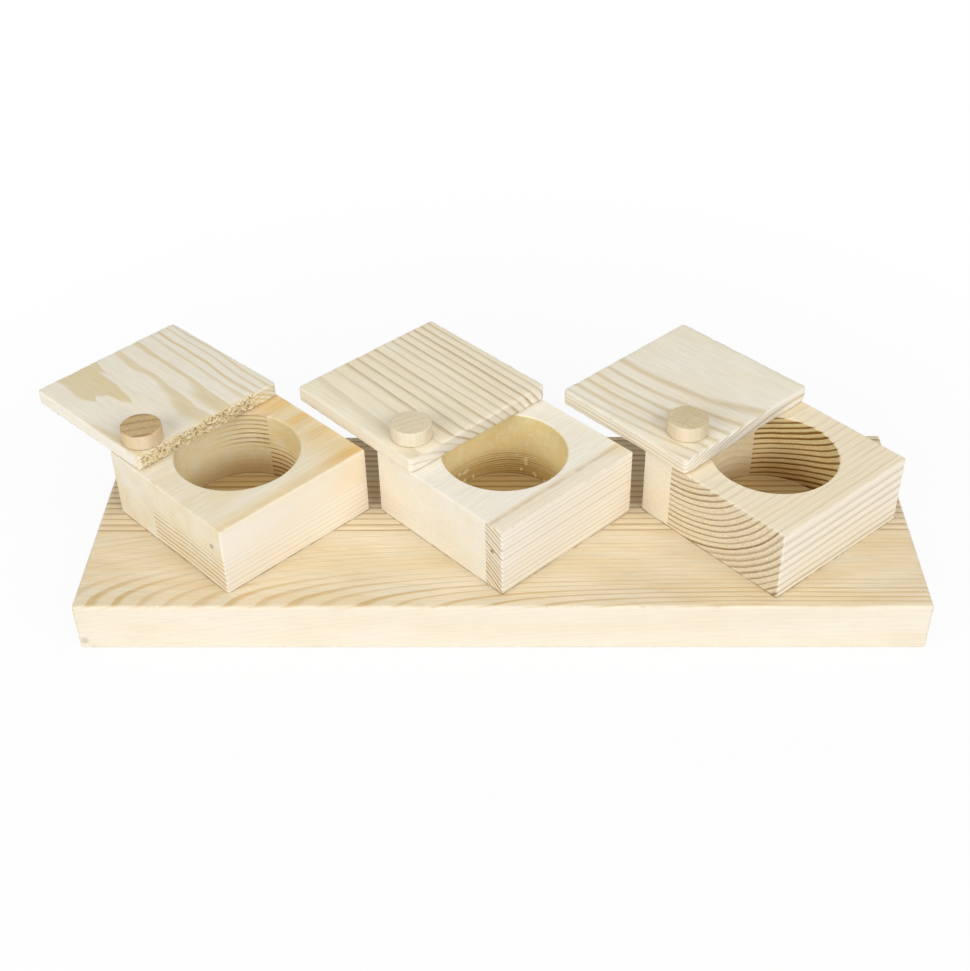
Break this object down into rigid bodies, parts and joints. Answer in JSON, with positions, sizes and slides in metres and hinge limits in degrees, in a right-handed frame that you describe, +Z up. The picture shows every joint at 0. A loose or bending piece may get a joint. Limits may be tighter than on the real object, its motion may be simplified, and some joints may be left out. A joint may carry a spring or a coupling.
{
  "type": "pet puzzle toy",
  "caption": "Wooden pet puzzle toy: a flat base with a row of square blocks set on their corners, each with a round food pocket under a lid that swings on a peg.",
  "frame": {"origin": "middle of the base's underside", "axes": "+X along the row of blocks, +Y to the back, where the open lids point, +Z up"},
  "size_m": [0.3255, 0.1319, 0.0602],
  "materials": {
    "pine_base": "bare planed pine",
    "pine_block": "bare sawn and sanded pine",
    "pine_lid": "bare sawn and sanded pine",
    "peg_wood": "bare turned hardwood",
    "dowel_wood": "bare turned hardwood"
  },
  "bodies": {
    "toy_body": {"base_front_stave": "pine_base", "base_back_stave": "pine_base", "left_block_front_stave": "pine_block", "left_block_back_stave": "pine_block", "left_front_dowel": "dowel_wood", "left_back_dowel": "dowel_wood", "left_peg": "peg_wood", "middle_block_front_stave": "pine_block", "middle_block_back_stave": "pine_block", "middle_front_dowel": "dowel_wood", "middle_back_dowel": "dowel_wood", "middle_peg": "peg_wood", "right_block_front_stave": "pine_block", "right_block_back_stave": "pine_block", "right_front_dowel": "dowel_wood", "right_back_dowel": "dowel_wood", "right_peg": "peg_wood"},
    "left_lid": {"left_lid": "pine_lid"},
    "middle_lid": {"middle_lid": "pine_lid"},
    "right_lid": {"right_lid": "pine_lid"}
  },
  "joints": [
    {"name": "left_lid_swing", "type": "hinge", "parent": "toy_body", "child": "left_lid", "pos_m": [-0.12955, 0.00277, 0.0482], "axis": [0, 0, 1], "range_deg": [0, 268]},
    {"name": "middle_lid_swing", "type": "hinge", "parent": "toy_body", "child": "middle_lid", "pos_m": [-0.032, 0.00413, 0.0482], "axis": [0, 0, 1], "range_deg": [-90, 0]},
    {"name": "right_lid_swing", "type": "hinge", "parent": "toy_body", "child": "right_lid", "pos_m": [0.06751, 0.00638, 0.0482], "axis": [0, 0, 1], "range_deg": [-92, 0]}
  ],
  "couplings": [
    {"joint": "middle_lid_swing", "follows": "right_lid_swing", "ratio": 0.978}
  ]
}
